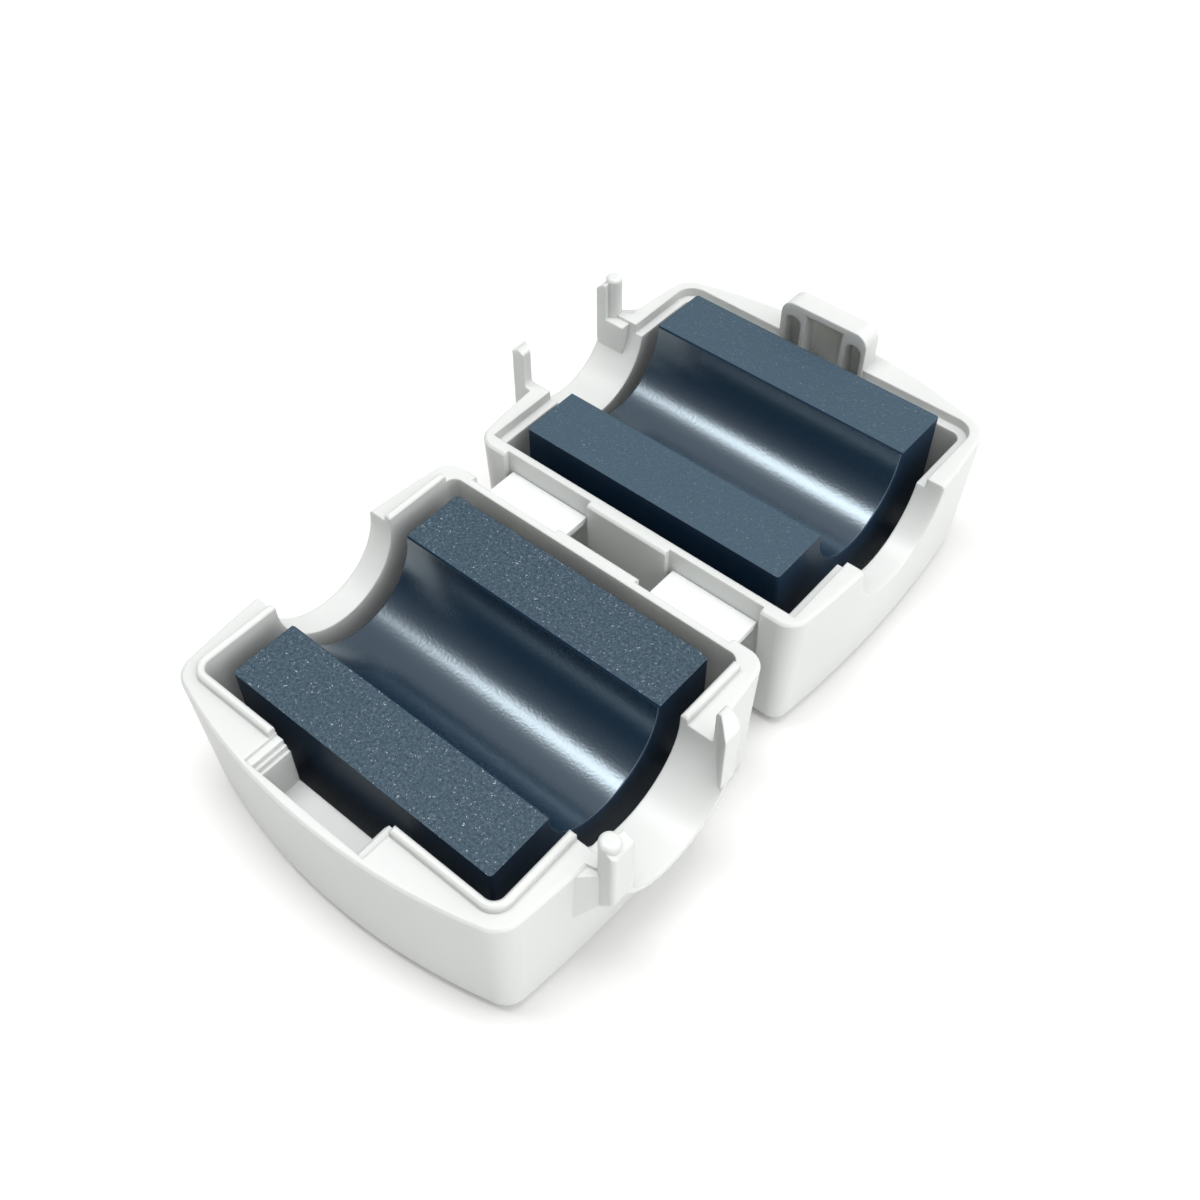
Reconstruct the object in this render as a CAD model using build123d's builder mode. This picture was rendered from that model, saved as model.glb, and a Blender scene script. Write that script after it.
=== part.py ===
from build123d import *
import os

os.makedirs("parts", exist_ok=True)

# Clip-on ferrite bead, lying open on a table. Millimetres, Z up, X along the cable.
# The hinge runs along X above the origin. The base lies on -Y and the lid on +Y.

# Ferrite core, one half of the split block
core_length = 28.5
core_width = 26.0
core_height = 13.0
bore_diameter = 13.0
bore_edge_chamfer = 0.15
core_corner_radius = 0.3
core_bottom_chamfer = 0.2
lid_core_float = 1.4

# Tray that holds a core
floor_thickness = 2.0
core_side_gap = 1.6
core_end_gap = 2.0
cavity_corner_radius = 1.0
hinge_wall = 0.7
far_rim = 1.3
end_rim = 1.8
far_bow = 2.9
end_bow = 1.1
far_corner_radius = 2.6
hinge_corner_radius = 2.0
draft_angle = 2.0
bottom_edge_radius = 1.5
rim_edge_chamfer = 0.25
cut_overrun = 1.0

# Ribs on the cavity walls that keep the core from sliding
rib_width = 2.0
rib_height = 2.5
rib_clearance = 0.1
rib_pitch_share = 0.8

# Cable arch, and the collar and posts at one end of each tray
arch_diameter = 13.2
collar_reach = 2.3
collar_tip_wall = 0.5
collar_root_wall = 1.7
post_gap = 0.35
post_height = 4.0
post_slope_drop = 0.8
post_crest = 0.8
post_crest_radius = 0.35
post_foot = 3.2
post_foot_slope = 4.2
post_edge_radius = 0.2
hinge_post_width = 1.3
hinge_post_round = 0.7
hook_start = 0.4
hook_reach = 1.4
hook_width = 2.2
latch_post_height = 3.8
latch_post_width = 2.3
latch_post_round = 0.4
latch_post_overlap = 1.1
pillar_diameter = 1.7
pillar_height = 4.3
pillar_top_radius = 0.4
gusset_reach = 0.6
gusset_run = 1.8
gusset_drop = 0.3

# Film hinge straps
strap_length = 9.1
strap_span = 4.8
strap_thickness = 0.7
strap_web = 0.3
strap_web_run = 0.5
strap_spacing_share = 0.588
strap_end_gap = 0.5
strap_clearance = 0.05
closed_gap = 0.1
hinge_block_proud = 0.65

# Lip round the base cavity, and its play in the lid's rebate
lip_width = 0.7
lip_height = 0.8
lip_edge_chamfer = 0.2
lip_clearance = 0.2

# Catch pocket in the base's bowed wall
pocket_width = 10.6
pocket_depth = 5.5
pocket_outer_wall = 0.95
pad_width = 1.3
pad_drop = 0.3
pad_step = 0.5
pad_step_run = 0.3
lip_gap_margin = 0.1
latch_offset = 0.5

# Snap latch on the lid's bowed wall
latch_clearance = 0.35
latch_height = 4.0
latch_plate = 0.5
latch_notch_depth = 2.2
ear_width = 2.8
ear_depth = 1.75
ear_hollow_width = 1.9
ear_hollow_height = 2.5
bar_height = 0.8

# Places worked out from the sizes above
half_height = floor_thickness + core_height
fold_y = strap_span / 2
fold_z = half_height + closed_gap / 2 - fold_y
wall_face_y = fold_y + strap_clearance
hinge_face_y = wall_face_y - hinge_block_proud
cavity_length = core_length + 2 * core_end_gap
cavity_width = core_width + 2 * core_side_gap
strap_spacing = cavity_length * strap_spacing_share
cavity_near_y = wall_face_y + hinge_wall
cavity_far_y = cavity_near_y + cavity_width
core_y = (cavity_near_y + cavity_far_y) / 2
far_corner_y = cavity_far_y + far_rim
far_crown_y = far_corner_y + far_bow
end_corner_x = cavity_length / 2 + end_rim
end_crown_x = end_corner_x + end_bow
arch_radius = arch_diameter / 2
collar_end_x = end_crown_x + collar_reach
post_x = end_crown_x + post_gap
rim_plane = Plane.XY.offset(half_height)
cable_plane = Plane((0, core_y, half_height))
cable_axis = Axis((0, core_y, half_height), (-1, 0, 0))
bearing_y = core_y - arch_radius
bearing_far_y = core_y + arch_radius


# Ferrite core: a pressed and sintered block with a half-round channel, its edges eased
with BuildPart() as core:
    with BuildSketch(Plane.YZ):
        with Locations((core_y, half_height)):
            Rectangle(core_width, core_height, align=(Align.CENTER, Align.MAX))
            Circle(bore_diameter / 2, mode=Mode.SUBTRACT)
    extrude(amount=core_length / 2, both=True)
    fillet(core.edges().filter_by(Axis.Z), core_corner_radius)
    chamfer(core.faces().sort_by(Axis.Z)[0].edges(), core_bottom_chamfer)
    bore = core.faces().filter_by(GeomType.CYLINDER).sort_by(SortBy.AREA)[-1]
    chamfer(bore.edges(), bore_edge_chamfer)

# The lid's core is sprung: it stands proud of the rim until the closed clip presses it home
with BuildPart() as lid_core:
    with Locations((0, 0, lid_core_float)):
        add(core.part)
lid_core.part.label = "lid_core"
export_step(lid_core.part, "parts/lid_core.step")

with BuildPart() as base_core:
    add(core.part, rotation=(0, 0, 180))
base_core.part.label = "base_core"
export_step(base_core.part, "parts/base_core.step")


# Side view shared by the posts: the foot dies into the end wall below the rim
with BuildSketch(Plane.XZ) as post_side:
    with BuildLine():
        Polyline(
            (-end_corner_x, half_height),
            (-post_x, half_height),
            (-post_x, half_height + post_height),
            (-post_x - post_crest, half_height + post_height),
            (-collar_end_x, half_height + post_height - post_slope_drop),
            (-collar_end_x, half_height - post_foot),
            (-end_corner_x, half_height - post_foot - post_foot_slope),
            close=True,
        )
    make_face()
    fillet(post_side.vertices().group_by(Axis.Z)[-1], post_crest_radius)

# Post on the hinge side of the arch: a slim fin whose tip hooks in over the cable
with BuildPart() as hinge_post:
    with BuildSketch(Plane.XY) as hinge_post_top:
        with BuildLine():
            Polyline(
                (-end_corner_x, bearing_y),
                (-post_x - hook_start, bearing_y),
                (-collar_end_x, bearing_y + hook_reach),
                (-collar_end_x, bearing_y + hook_reach - hook_width),
                (-end_corner_x, bearing_y - hinge_post_width),
                close=True,
            )
        make_face()
        outer_corners = hinge_post_top.vertices().group_by(Axis.X)[0].sort_by(Axis.Y)
        fillet(outer_corners[0], hinge_post_round)
        fillet(outer_corners[-1], post_edge_radius)
    extrude(amount=half_height + post_height)
    extrude(post_side.sketch, amount=far_crown_y, both=True, mode=Mode.INTERSECT)

# Post on the latch side of the arch: a stout web with a gusset, and a round pillar that stands higher
latch_post_y = bearing_far_y - latch_post_overlap
latch_post_out_y = latch_post_y + latch_post_width
pillar_radius = pillar_diameter / 2
pillar_x = post_x + pillar_radius
with BuildPart() as latch_post:
    with BuildSketch(Plane.XY) as latch_post_top:
        with Locations((-collar_end_x, latch_post_y)):
            Rectangle(collar_end_x - pillar_x, latch_post_width, align=(Align.MIN, Align.MIN))
        outer_corners = latch_post_top.vertices().group_by(Axis.X)[0].sort_by(Axis.Y)
        fillet(outer_corners[-1], latch_post_round)
        fillet(outer_corners[0], post_edge_radius)
    extrude(amount=half_height + latch_post_height)
    with BuildSketch(Plane.XY):
        with Locations((-pillar_x, latch_post_y)):
            Rectangle(pillar_x - end_corner_x, latch_post_width, align=(Align.MIN, Align.MIN))
        with BuildLine():
            Polyline(
                (-end_corner_x, latch_post_out_y),
                (-post_x - gusset_reach, latch_post_out_y),
                (-end_corner_x, latch_post_out_y + gusset_run),
                close=True,
            )
        make_face()
    extrude(amount=half_height - gusset_drop)
    extrude(post_side.sketch, amount=far_crown_y, both=True, mode=Mode.INTERSECT)
    with BuildSketch(rim_plane.offset(-gusset_drop)):
        with Locations((-pillar_x, latch_post_out_y - pillar_radius)):
            Circle(pillar_radius)
    extrude(amount=pillar_height + gusset_drop)
    fillet(latch_post.faces().sort_by(Axis.Z)[-1].edges(), pillar_top_radius)


# Tray: the moulded half case that lid and base have in common, on the lid's side
with BuildPart() as tray:
    with BuildSketch(rim_plane) as tray_outline:
        with BuildLine():
            Line((-end_corner_x, hinge_face_y), (end_corner_x, hinge_face_y))
            ThreePointArc(
                (end_corner_x, hinge_face_y),
                (end_crown_x, core_y),
                (end_corner_x, far_corner_y),
            )
            ThreePointArc(
                (end_corner_x, far_corner_y),
                (0, far_crown_y),
                (-end_corner_x, far_corner_y),
            )
            ThreePointArc(
                (-end_corner_x, far_corner_y),
                (-end_crown_x, core_y),
                (-end_corner_x, hinge_face_y),
            )
        make_face()
        fillet(tray_outline.vertices().group_by(Axis.Y)[-1], far_corner_radius)
        fillet(tray_outline.vertices().group_by(Axis.Y)[0], hinge_corner_radius)
    extrude(amount=-half_height)
    draft(tray.faces().filter_by(Axis.Z, reverse=True), rim_plane, -draft_angle)
    fillet(tray.faces().sort_by(Axis.Z)[0].edges(), bottom_edge_radius)
    chamfer(tray.faces().sort_by(Axis.Z)[-1].edges(), rim_edge_chamfer)

    # Collar: a half funnel round the arch, outside the -X end wall
    with BuildSketch(cable_plane):
        with BuildLine():
            Polyline(
                (-cavity_length / 2, arch_radius),
                (-collar_end_x, arch_radius),
                (-collar_end_x, arch_radius + collar_tip_wall),
                (-cavity_length / 2, arch_radius + collar_root_wall),
                close=True,
            )
        make_face()
    revolve(axis=cable_axis, revolution_arc=180)

    # Cavity for the core, with low ribs on its walls
    with BuildSketch(rim_plane) as cavity_outline:
        with Locations((0, core_y)):
            Rectangle(cavity_length, cavity_width)
        fillet(cavity_outline.vertices(), cavity_corner_radius)
    extrude(amount=-core_height, mode=Mode.SUBTRACT)
    side_rib_pitch = core_width + core_side_gap + rib_clearance
    end_rib_pitch = core_length + core_end_gap + rib_clearance
    with BuildSketch(Plane.XY.offset(floor_thickness)):
        with Locations((0, core_y)):
            with GridLocations(core_length * rib_pitch_share, side_rib_pitch, 2, 2):
                Rectangle(rib_width, core_side_gap - rib_clearance)
            with GridLocations(end_rib_pitch, core_width * rib_pitch_share, 2, 2):
                Rectangle(core_end_gap - rib_clearance, rib_width)
    extrude(amount=rib_height)

    # Cable arch through both end walls, then the posts beside it
    with BuildSketch(Plane.YZ):
        with Locations((core_y, half_height)):
            Circle(arch_radius)
    extrude(amount=collar_end_x + cut_overrun, both=True, mode=Mode.SUBTRACT)
    add(latch_post.part)
    add(hinge_post.part)

    # Recesses in the hinge wall where the straps fold
    with BuildSketch(rim_plane):
        with GridLocations(strap_spacing, 0, 2, 1):
            Rectangle(strap_length + 2 * strap_end_gap, 2 * wall_face_y)
    extrude(amount=-half_height, mode=Mode.SUBTRACT)


# Lip: a bead that stands on the base's rim on three sides of the cavity
with BuildPart() as lip:
    with BuildSketch(rim_plane) as lip_outline:
        with Locations((0, cavity_near_y + cavity_corner_radius)):
            Rectangle(
                cavity_length + 2 * lip_width,
                cavity_width + lip_width - cavity_corner_radius,
                align=(Align.CENTER, Align.MIN),
            )
        fillet(lip_outline.vertices().group_by(Axis.Y)[-1], cavity_corner_radius + lip_width)
        add(cavity_outline.sketch_local, mode=Mode.SUBTRACT)
        with Locations((0, core_y)):
            Rectangle(2 * end_crown_x, arch_diameter, mode=Mode.SUBTRACT)
        with Locations((latch_offset, cavity_far_y)):
            Rectangle(
                pocket_width + 2 * (pad_width + lip_gap_margin),
                2 * (lip_width + lip_clearance),
                mode=Mode.SUBTRACT,
            )
    extrude(amount=lip_height)
    chamfer(lip.faces().group_by(Axis.Z)[-1].edges(), lip_edge_chamfer)

# Base case: tray, lip and the catch pocket with its stepped pads
with BuildPart() as base_shape:
    add(tray.part)
    add(lip.part)
    pocket_half = pocket_width / 2
    with BuildSketch(Plane((latch_offset, cavity_far_y - cut_overrun, 0), (1, 0, 0), (0, -1, 0))):
        with BuildLine():
            Polyline(
                (0, half_height + cut_overrun),
                (pocket_half + pad_width, half_height + cut_overrun),
                (pocket_half + pad_width, half_height - pad_drop),
                (pocket_half + 2 * pad_step_run, half_height - pad_drop),
                (pocket_half + 2 * pad_step_run, half_height - pad_drop - pad_step),
                (pocket_half + pad_step_run, half_height - pad_drop - pad_step),
                (pocket_half + pad_step_run, half_height - pad_drop - 2 * pad_step),
                (pocket_half, half_height - pad_drop - 2 * pad_step),
                (pocket_half, half_height - pocket_depth),
                (0, half_height - pocket_depth),
            )
            mirror(about=Plane.YZ)
        make_face()
    extrude(
        amount=cavity_far_y - cut_overrun + pocket_outer_wall - far_crown_y,
        mode=Mode.SUBTRACT,
    )

with BuildPart() as base_case:
    add(base_shape.part, rotation=(0, 0, 180))
base_case.part.label = "base_case"
export_step(base_case.part, "parts/base_case.step")


# Lid case: tray, the rebate that takes the lip, and the snap latch
latch_face_y = far_crown_y - pocket_outer_wall - latch_clearance
ear_root_y = latch_face_y - latch_plate
latch_width = pocket_width - 2 * latch_clearance
latch_plane = Plane((-latch_offset, latch_face_y, half_height), (1, 0, 0), (0, -1, 0))
ear_plane = latch_plane.offset(latch_plate)
with BuildPart() as lid_case:
    add(tray.part)
    with BuildSketch(rim_plane) as rebate_outline:
        with Locations((0, cavity_near_y)):
            Rectangle(
                cavity_length + 2 * (lip_width + lip_clearance),
                cavity_width + lip_width + lip_clearance,
                align=(Align.CENTER, Align.MIN),
            )
        fillet(
            rebate_outline.vertices().group_by(Axis.Y)[-1],
            cavity_corner_radius + lip_width + lip_clearance,
        )
    extrude(amount=-lip_height - lip_clearance, mode=Mode.SUBTRACT)

    # Notch in the rim before the latch, then its back plate
    with BuildSketch(ear_plane):
        Rectangle(latch_width, 2 * latch_notch_depth)
    extrude(amount=ear_root_y - cavity_far_y + cut_overrun, mode=Mode.SUBTRACT)
    with BuildSketch(latch_plane) as plate_outline:
        Rectangle(latch_width, 2 * latch_height)
        fillet(plate_outline.vertices(), ear_width / 2)
    extrude(amount=latch_plate)

    # Two hollow ears in front of the plate, and the bar that joins their tops
    with BuildSketch(ear_plane):
        with GridLocations(latch_width - ear_width, 0, 2, 1):
            SlotOverall(2 * latch_height, ear_width, rotation=90)
            SlotOverall(2 * ear_hollow_height, ear_hollow_width, rotation=90, mode=Mode.SUBTRACT)
        with Locations((0, latch_height)):
            Rectangle(latch_width - ear_width, bar_height, align=(Align.CENTER, Align.MAX))
    extrude(amount=ear_depth)
lid_case.part.label = "lid_case"
export_step(lid_case.part, "parts/lid_case.step")


# Hinge straps: flat tabs, thinned along both fold lines
with BuildPart() as strap:
    with BuildSketch(Plane.YZ):
        with BuildLine():
            Polyline(
                (-fold_y, fold_z),
                (fold_y, fold_z),
                (fold_y, fold_z - strap_web),
                (fold_y - strap_web_run, fold_z - strap_thickness),
                (strap_web_run - fold_y, fold_z - strap_thickness),
                (-fold_y, fold_z - strap_web),
                close=True,
            )
        make_face()
    extrude(amount=strap_length / 2, both=True)

for name, side in (("hinge_strap_left", -1), ("hinge_strap_right", 1)):
    with BuildPart() as placed_strap:
        with Locations((side * strap_spacing / 2, 0, 0)):
            add(strap.part)
    placed_strap.part.label = name
    export_step(placed_strap.part, "parts/" + name + ".step")
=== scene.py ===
import bpy
import math
from mathutils import Matrix, Vector


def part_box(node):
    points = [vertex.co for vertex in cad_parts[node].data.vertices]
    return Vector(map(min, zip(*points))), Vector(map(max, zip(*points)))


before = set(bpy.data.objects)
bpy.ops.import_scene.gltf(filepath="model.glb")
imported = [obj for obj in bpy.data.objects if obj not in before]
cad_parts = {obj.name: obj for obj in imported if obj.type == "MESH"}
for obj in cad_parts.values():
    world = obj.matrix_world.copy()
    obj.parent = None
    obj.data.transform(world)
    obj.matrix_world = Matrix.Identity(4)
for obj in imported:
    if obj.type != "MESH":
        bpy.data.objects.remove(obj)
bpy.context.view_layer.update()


# Case trays: two halves of one white injection moulding, each holding a core.
# Satin polypropylene straight from the mould, with soft edges and a very fine spark-eroded skin.
# The trays stay as modelled; the finish below goes on both.
def wire(tree, source, output, target, socket):
    tree.links.new(source.outputs[output], target.inputs[socket])


def place(tree, kind, **settings):
    made = tree.nodes.new(kind)
    for key, value in settings.items():
        setattr(made, key, value)
    return made


mould_skin = bpy.data.node_groups.new("mould_skin", "ShaderNodeTree")
mould_skin.interface.new_socket("Grain Scale", in_out="INPUT", socket_type="NodeSocketFloat")
mould_skin.interface.new_socket("Cloud", in_out="OUTPUT", socket_type="NodeSocketFloat")
mould_skin.interface.new_socket("Height", in_out="OUTPUT", socket_type="NodeSocketFloat")
skin_in = place(mould_skin, "NodeGroupInput")
skin_out = place(mould_skin, "NodeGroupOutput")
skin_place = place(mould_skin, "ShaderNodeTexCoord")
skin_grain = place(mould_skin, "ShaderNodeTexNoise")
skin_grain.inputs["Detail"].default_value = 3.0
skin_cloud = place(mould_skin, "ShaderNodeTexNoise")
skin_cloud.inputs["Scale"].default_value = 90.0
skin_cloud.inputs["Detail"].default_value = 4.0
wire(mould_skin, skin_in, "Grain Scale", skin_grain, "Scale")
wire(mould_skin, skin_place, "Object", skin_grain, "Vector")
wire(mould_skin, skin_place, "Object", skin_cloud, "Vector")
wire(mould_skin, skin_grain, "Fac", skin_out, "Height")
wire(mould_skin, skin_cloud, "Fac", skin_out, "Cloud")


def white_plastic(name, light, dark, grain_scale, edge_radius, rough):
    made = bpy.data.materials.new(name)
    made.use_nodes = True
    tree = made.node_tree
    shader = tree.nodes["Principled BSDF"]
    shader.inputs["IOR"].default_value = 1.49
    shader.inputs["Subsurface Weight"].default_value = 0.35
    shader.inputs["Subsurface Radius"].default_value = (1.0, 0.95, 0.85)
    shader.inputs["Subsurface Scale"].default_value = 0.0014
    skin = place(tree, "ShaderNodeGroup", node_tree=mould_skin)
    skin.inputs["Grain Scale"].default_value = grain_scale
    tint = place(tree, "ShaderNodeMix", data_type="RGBA")
    tint.inputs["A"].default_value = (*dark, 1.0)
    tint.inputs["B"].default_value = (*light, 1.0)
    gloss = place(tree, "ShaderNodeMapRange")
    gloss.inputs["From Min"].default_value = 0.3
    gloss.inputs["From Max"].default_value = 0.7
    gloss.inputs["To Min"].default_value = rough - 0.05
    gloss.inputs["To Max"].default_value = rough + 0.05
    edge = place(tree, "ShaderNodeBevel", samples=6)
    edge.inputs["Radius"].default_value = edge_radius
    bump = place(tree, "ShaderNodeBump")
    bump.inputs["Strength"].default_value = 0.12
    bump.inputs["Distance"].default_value = 0.00002
    wire(tree, skin, "Cloud", tint, "Factor")
    wire(tree, tint, "Result", shader, "Base Color")
    wire(tree, skin, "Cloud", gloss, "Value")
    wire(tree, gloss, "Result", shader, "Roughness")
    wire(tree, skin, "Height", bump, "Height")
    wire(tree, edge, "Normal", bump, "Normal")
    wire(tree, bump, "Normal", shader, "Normal")
    return made


tray_white = white_plastic(
    "tray_white",
    light=(0.620, 0.636, 0.624),
    dark=(0.588, 0.604, 0.590),
    grain_scale=5200.0,
    edge_radius=0.00022,
    rough=0.40,
)
for tray in ("base_case", "lid_case"):
    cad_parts[tray].data.materials.clear()
    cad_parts[tray].data.materials.append(tray_white)


# Hinge straps: two thin tabs of the same moulding, thinned along the lines where they fold.
# Their white is painted a little lighter than the trays' white. This is painted light that lifts the
# shade falling on them between the walls; they are also a little smoother.
strap_painted_lighter = white_plastic(
    "strap_painted_lighter",
    light=(0.76, 0.775, 0.77),
    dark=(0.72, 0.735, 0.73),
    grain_scale=6400.0,
    edge_radius=0.0001,
    rough=0.34,
)
for strap in ("hinge_strap_left", "hinge_strap_right"):
    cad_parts[strap].data.materials.clear()
    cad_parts[strap].data.materials.append(strap_painted_lighter)


# Ferrite cores: pressed and sintered half blocks, dropped into the trays.
# The mating faces are ground flat and matt. Small bright specks in their colour are painted glints,
# where facets would catch the light.
# The channel keeps its smooth fired skin, and the sides are left near black from the kiln.
ferrite_grain_and_glint = bpy.data.node_groups.new("ferrite_grain_and_glint", "ShaderNodeTree")
ferrite_grain_and_glint.interface.new_socket("Painted Glint Share", in_out="INPUT", socket_type="NodeSocketFloat")
ferrite_grain_and_glint.interface.new_socket("Mottle", in_out="OUTPUT", socket_type="NodeSocketFloat")
ferrite_grain_and_glint.interface.new_socket("Painted Glint", in_out="OUTPUT", socket_type="NodeSocketFloat")
ferrite_grain_and_glint.interface.new_socket("Height", in_out="OUTPUT", socket_type="NodeSocketFloat")
grain_in = place(ferrite_grain_and_glint, "NodeGroupInput")
grain_out = place(ferrite_grain_and_glint, "NodeGroupOutput")
grain_place = place(ferrite_grain_and_glint, "ShaderNodeTexCoord")
mottle = place(ferrite_grain_and_glint, "ShaderNodeTexNoise")
mottle.inputs["Scale"].default_value = 3600.0
mottle.inputs["Detail"].default_value = 4.0
mottle.inputs["Roughness"].default_value = 0.75
mottle_spread = place(ferrite_grain_and_glint, "ShaderNodeMapRange")
mottle_spread.inputs["From Min"].default_value = 0.34
mottle_spread.inputs["From Max"].default_value = 0.66
pits = place(ferrite_grain_and_glint, "ShaderNodeTexNoise")
pits.inputs["Scale"].default_value = 4200.0
pits.inputs["Detail"].default_value = 3.0
# Painted glints: sparse bright specks, painted where facets of the ground faces would catch the light
facets = place(ferrite_grain_and_glint, "ShaderNodeTexNoise")
facets.inputs["Scale"].default_value = 9500.0
facets.inputs["Detail"].default_value = 1.0
glint_spot = place(ferrite_grain_and_glint, "ShaderNodeMapRange")
glint_spot.inputs["From Min"].default_value = 0.60
glint_spot.inputs["From Max"].default_value = 0.80
cells = place(ferrite_grain_and_glint, "ShaderNodeTexVoronoi")
cells.inputs["Scale"].default_value = 4200.0
glint_pick = place(ferrite_grain_and_glint, "ShaderNodeSeparateColor")
glint_rare = place(ferrite_grain_and_glint, "ShaderNodeMath", operation="POWER")
glint_rare.inputs[1].default_value = 6.0
glint_mask_raw = place(ferrite_grain_and_glint, "ShaderNodeMath", operation="MULTIPLY")
painted_glint_mask = place(ferrite_grain_and_glint, "ShaderNodeMath", operation="MULTIPLY", use_clamp=True)
for texture in (mottle, pits, facets, cells):
    wire(ferrite_grain_and_glint, grain_place, "Object", texture, "Vector")
wire(ferrite_grain_and_glint, facets, "Fac", glint_spot, "Value")
wire(ferrite_grain_and_glint, cells, "Color", glint_pick, "Color")
wire(ferrite_grain_and_glint, glint_pick, "Red", glint_rare, 0)
wire(ferrite_grain_and_glint, glint_spot, "Result", glint_mask_raw, 0)
wire(ferrite_grain_and_glint, glint_rare, 0, glint_mask_raw, 1)
wire(ferrite_grain_and_glint, glint_mask_raw, 0, painted_glint_mask, 0)
wire(ferrite_grain_and_glint, grain_in, "Painted Glint Share", painted_glint_mask, 1)
wire(ferrite_grain_and_glint, mottle, "Fac", mottle_spread, "Value")
wire(ferrite_grain_and_glint, mottle_spread, "Result", grain_out, "Mottle")
wire(ferrite_grain_and_glint, painted_glint_mask, 0, grain_out, "Painted Glint")
wire(ferrite_grain_and_glint, pits, "Fac", grain_out, "Height")


def ferrite(name, core, ground_dark, ground_light, painted_glint_amount):
    low_corner, high_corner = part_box(core)
    ground_height = high_corner.z
    ground_margin = 0.0003
    channel_offset = abs(low_corner.y + high_corner.y) / 2
    channel_radius = 0.0065
    channel_margin = 0.00004
    made = bpy.data.materials.new(name)
    made.use_nodes = True
    tree = made.node_tree
    shader = tree.nodes["Principled BSDF"]
    shader.inputs["IOR"].default_value = 1.8
    shader.inputs["Specular Tint"].default_value = (0.78, 0.92, 1.0, 1.0)
    grain = place(tree, "ShaderNodeGroup", node_tree=ferrite_grain_and_glint)
    grain.inputs["Painted Glint Share"].default_value = painted_glint_amount
    coords = place(tree, "ShaderNodeTexCoord")
    point = place(tree, "ShaderNodeSeparateXYZ")
    facing = place(tree, "ShaderNodeSeparateXYZ")
    wire(tree, coords, "Object", point, "Vector")
    wire(tree, coords, "Normal", facing, "Vector")

    # Ground faces: level, and at the top of the block
    level = place(tree, "ShaderNodeMath", operation="GREATER_THAN")
    level.inputs[1].default_value = 0.98
    high = place(tree, "ShaderNodeMath", operation="GREATER_THAN")
    high.inputs[1].default_value = ground_height - ground_margin
    ground = place(tree, "ShaderNodeMath", operation="MULTIPLY")
    wire(tree, facing, "Z", level, 0)
    wire(tree, point, "Z", high, 0)
    wire(tree, level, 0, ground, 0)
    wire(tree, high, 0, ground, 1)

    # Channel: within its radius of the cable's line
    across = place(tree, "ShaderNodeMath", operation="ABSOLUTE")
    aside = place(tree, "ShaderNodeMath", operation="SUBTRACT")
    aside.inputs[1].default_value = channel_offset
    below = place(tree, "ShaderNodeMath", operation="SUBTRACT")
    below.inputs[1].default_value = ground_height
    radial = place(tree, "ShaderNodeCombineXYZ")
    radius = place(tree, "ShaderNodeVectorMath", operation="LENGTH")
    channel = place(tree, "ShaderNodeMath", operation="LESS_THAN")
    channel.inputs[1].default_value = channel_radius + channel_margin
    wire(tree, point, "Y", across, 0)
    wire(tree, across, 0, aside, 0)
    wire(tree, point, "Z", below, 0)
    wire(tree, aside, 0, radial, "X")
    wire(tree, below, 0, radial, "Y")
    wire(tree, radial, "Vector", radius, 0)
    wire(tree, radius, "Value", channel, 0)

    fired = place(tree, "ShaderNodeMix", data_type="RGBA")
    fired.inputs["A"].default_value = (0.003, 0.016, 0.038, 1.0)
    fired.inputs["B"].default_value = (0.001, 0.012, 0.029, 1.0)
    cut_dark = place(tree, "ShaderNodeMix", data_type="RGBA")
    cut_dark.inputs["A"].default_value = (*ground_dark, 1.0)
    cut_dark.inputs["B"].default_value = (*ground_light, 1.0)
    # Painted glints: bright specks mixed into the ground faces' colour, standing in for facets
    # catching the light
    painted_glint_mix = place(tree, "ShaderNodeMix", data_type="RGBA")
    painted_glint_mix.inputs["B"].default_value = (0.52, 0.60, 0.64, 1.0)
    colour = place(tree, "ShaderNodeMix", data_type="RGBA")
    wire(tree, channel, 0, fired, "Factor")
    wire(tree, grain, "Mottle", cut_dark, "Factor")
    wire(tree, grain, "Painted Glint", painted_glint_mix, "Factor")
    wire(tree, cut_dark, "Result", painted_glint_mix, "A")
    wire(tree, ground, 0, colour, "Factor")
    wire(tree, fired, "Result", colour, "A")
    wire(tree, painted_glint_mix, "Result", colour, "B")
    wire(tree, colour, "Result", shader, "Base Color")

    fired_gloss = place(tree, "ShaderNodeMix")
    fired_gloss.inputs["A"].default_value = 0.42
    fired_gloss.inputs["B"].default_value = 0.25
    gloss = place(tree, "ShaderNodeMix")
    gloss.inputs["B"].default_value = 0.62
    wire(tree, channel, 0, fired_gloss, "Factor")
    wire(tree, ground, 0, gloss, "Factor")
    wire(tree, fired_gloss, "Result", gloss, "A")
    wire(tree, gloss, "Result", shader, "Roughness")

    fired_shine = place(tree, "ShaderNodeMix")
    fired_shine.inputs["A"].default_value = 0.10
    fired_shine.inputs["B"].default_value = 0.80
    shine = place(tree, "ShaderNodeMix")
    shine.inputs["B"].default_value = 0.25
    wire(tree, channel, 0, fired_shine, "Factor")
    wire(tree, ground, 0, shine, "Factor")
    wire(tree, fired_shine, "Result", shine, "A")
    wire(tree, shine, "Result", shader, "Specular IOR Level")

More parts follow.
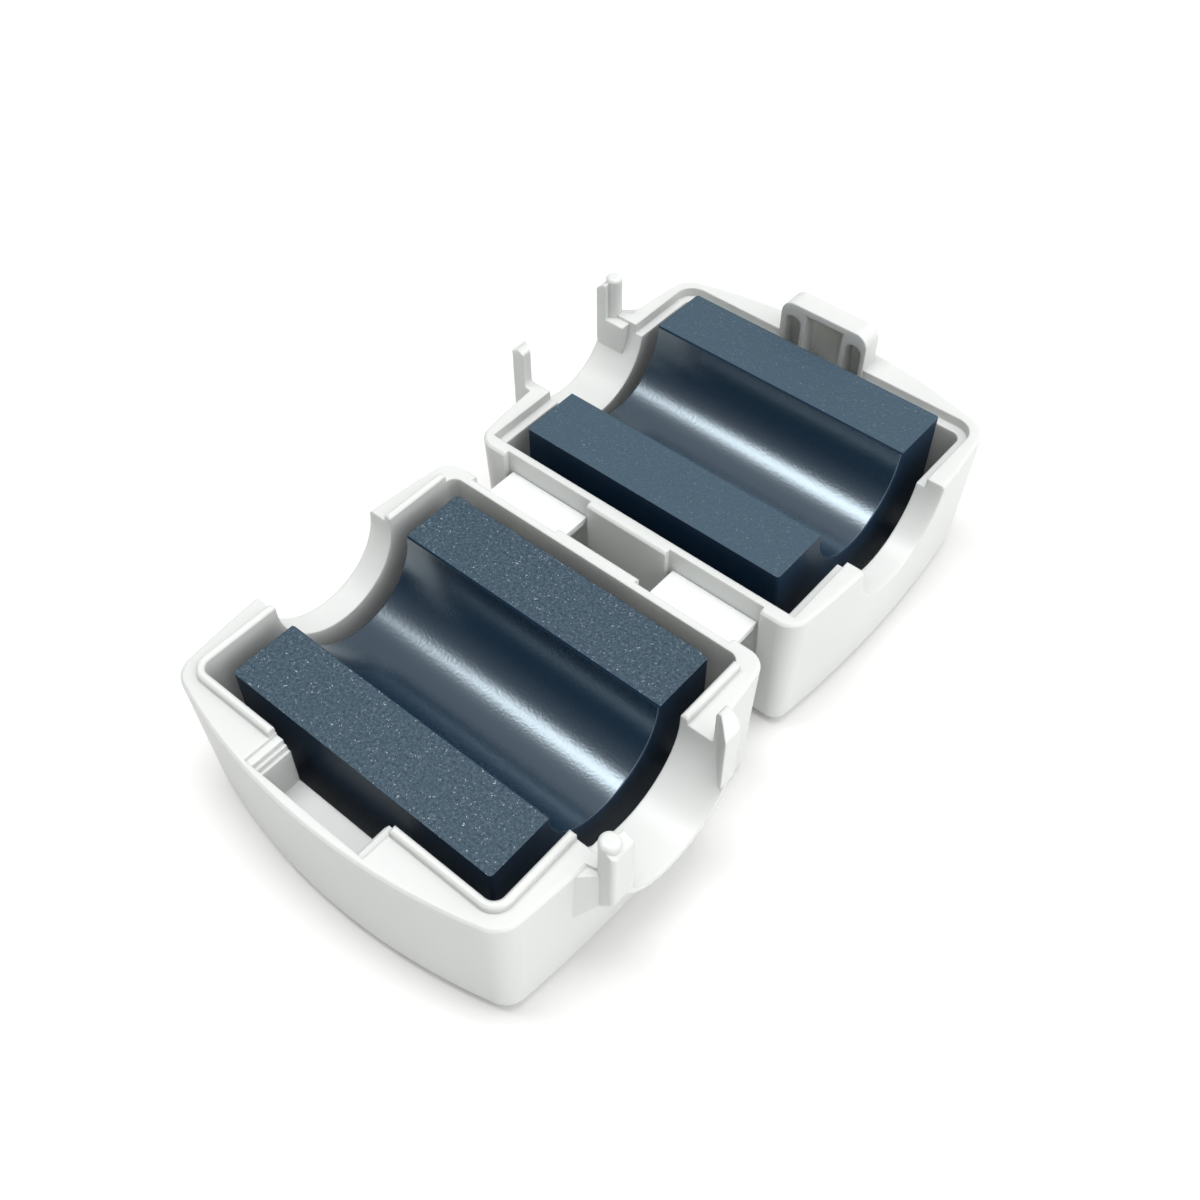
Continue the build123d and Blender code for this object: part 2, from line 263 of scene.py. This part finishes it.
    edge = place(tree, "ShaderNodeBevel", samples=6)
    edge.inputs["Radius"].default_value = 0.0001
    depth = place(tree, "ShaderNodeMix")
    depth.inputs["A"].default_value = 0.40
    depth.inputs["B"].default_value = 0.45
    rough_height = place(tree, "ShaderNodeMath", operation="MULTIPLY")
    bump = place(tree, "ShaderNodeBump")
    bump.inputs["Strength"].default_value = 1.0
    bump.inputs["Distance"].default_value = 0.00003
    wire(tree, ground, 0, depth, "Factor")
    wire(tree, grain, "Height", rough_height, 0)
    wire(tree, depth, "Result", rough_height, 1)
    wire(tree, rough_height, 0, bump, "Height")
    wire(tree, edge, "Normal", bump, "Normal")
    wire(tree, bump, "Normal", shader, "Normal")
    return made


# The base core gets more painted glints than the lid core
base_ferrite_more_glints = ferrite(
    "base_core_ferrite",
    core="base_core",
    ground_dark=(0.003, 0.015, 0.028),
    ground_light=(0.049, 0.080, 0.111),
    painted_glint_amount=1.5,
)
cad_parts["base_core"].data.materials.clear()
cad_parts["base_core"].data.materials.append(base_ferrite_more_glints)
lid_ferrite_fewer_glints = ferrite(
    "lid_core_ferrite",
    core="lid_core",
    ground_dark=(0.025, 0.051, 0.077),
    ground_light=(0.040, 0.069, 0.098),
    painted_glint_amount=0.6,
)
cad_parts["lid_core"].data.materials.clear()
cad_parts["lid_core"].data.materials.append(lid_ferrite_fewer_glints)


# Table top: a plain white sheet of card under the clip, lit until it is almost blank.
# It lies flat and runs past the picture on all sides.
table_half = 1.5
table_level = -0.00002
table_mesh = bpy.data.meshes.new("table_top")
table_mesh.from_pydata(
    [(x, y, table_level) for x in (-table_half, table_half) for y in (-table_half, table_half)],
    [],
    [(0, 2, 3, 1)],
)
table_top = bpy.data.objects.new("table_top", table_mesh)
bpy.context.scene.collection.objects.link(table_top)
card = bpy.data.materials.new("white_card")
card.use_nodes = True
card_shader = card.node_tree.nodes["Principled BSDF"]
card_shader.inputs["Roughness"].default_value = 0.9
card_shader.inputs["Specular IOR Level"].default_value = 0.1
card_tooth = place(card.node_tree, "ShaderNodeTexNoise")
card_tooth.inputs["Scale"].default_value = 400.0
card_tint = place(card.node_tree, "ShaderNodeMix", data_type="RGBA")
card_tint.inputs["A"].default_value = (0.80, 0.80, 0.785, 1.0)
card_tint.inputs["B"].default_value = (0.82, 0.82, 0.805, 1.0)
wire(card.node_tree, card_tooth, "Fac", card_tint, "Factor")
wire(card.node_tree, card_tint, "Result", card_shader, "Base Color")
table_mesh.materials.append(card)


# Light: one long soft box almost straight over the clip, hung a little to its left, in a pale room.
# The room is brightest beyond the collar end of the base, softer above and behind the lid,
# and close to dark everywhere else.
clip_middle = Vector((0.0, 0.0, 0.012))


def soft_box(name, direction, distance, size_x, size_y, power):
    lamp = bpy.data.lights.new(name, "AREA")
    lamp.shape = "RECTANGLE"
    lamp.size = size_x
    lamp.size_y = size_y
    lamp.energy = power
    made = bpy.data.objects.new(name, lamp)
    towards = Vector(direction).normalized()
    made.location = clip_middle + distance * towards
    made.rotation_euler = towards.to_track_quat("Z", "Y").to_euler()
    bpy.context.scene.collection.objects.link(made)


soft_box("key_box", direction=(-0.13, -0.075, 0.98), distance=0.5, size_x=0.15, size_y=0.42, power=2.1)

room_dimness = 0.02
room = bpy.data.worlds.new("pale_room")
room.use_nodes = True
bpy.context.scene.world = room
room_tree = room.node_tree
room_glow = room_tree.nodes["Background"]
room_glow.inputs["Strength"].default_value = 1.0
room_place = place(room_tree, "ShaderNodeTexCoord")
room_sum = None
for side, narrowness, brightness in (
    ((0.0, 0.0, 1.0), 2.0, 0.62),
    ((1.0, 0.0, 0.35), 3.0, 2.1),
    ((0.0, 1.0, 0.35), 3.0, 0.75),
):
    facing = place(room_tree, "ShaderNodeVectorMath", operation="DOT_PRODUCT")
    facing.inputs[1].default_value = Vector(side).normalized()
    ahead = place(room_tree, "ShaderNodeMath", operation="MAXIMUM")
    ahead.inputs[1].default_value = 0.0
    glow = place(room_tree, "ShaderNodeMath", operation="POWER")
    glow.inputs[1].default_value = narrowness
    added = place(room_tree, "ShaderNodeMath", operation="MULTIPLY_ADD")
    added.inputs[1].default_value = brightness
    added.inputs[2].default_value = room_dimness
    wire(room_tree, room_place, "Generated", facing, 0)
    wire(room_tree, facing, "Value", ahead, 0)
    wire(room_tree, ahead, 0, glow, 0)
    wire(room_tree, glow, 0, added, 0)
    if room_sum:
        wire(room_tree, room_sum, 0, added, 2)
    room_sum = added

# Seen directly, the room is an even pale backdrop
room_sight = place(room_tree, "ShaderNodeLightPath")
backdrop = place(room_tree, "ShaderNodeMix", data_type="RGBA")
backdrop.inputs["B"].default_value = (0.86, 0.86, 0.85, 1.0)
wire(room_tree, room_sight, "Is Camera Ray", backdrop, "Factor")
wire(room_tree, room_sum, 0, backdrop, "A")
wire(room_tree, backdrop, "Result", room_glow, "Color")


# Camera: a plain lens held close over the near corner of the base, looking down along the open clip.
# It stands where the picture was taken from, and keeps everything in focus.
azimuth = math.radians(40.29)
elevation = math.radians(50.33)
roll = math.radians(-0.175)
aim = Vector((0.00354, -0.00584, 0.015))
stand_off = 0.11208
level_back = Vector((math.sin(azimuth), -math.cos(azimuth), 0.0))
level_right = Vector((math.cos(azimuth), math.sin(azimuth), 0.0))
back = math.cos(elevation) * level_back + Vector((0.0, 0.0, math.sin(elevation)))
right = math.cos(roll) * level_right + math.sin(roll) * back.cross(level_right)
up = back.cross(right)
lens = bpy.data.cameras.new("camera")
lens.sensor_width = 36.0
lens.lens = 39.855
lens.clip_start = 0.005
camera = bpy.data.objects.new("camera", lens)
turned = Matrix((right, up, back)).transposed().to_4x4()
camera.matrix_world = Matrix.Translation(aim + stand_off * back) @ turned
bpy.context.scene.collection.objects.link(camera)
bpy.context.scene.camera = camera
bpy.context.scene.view_settings.view_transform = "Standard"
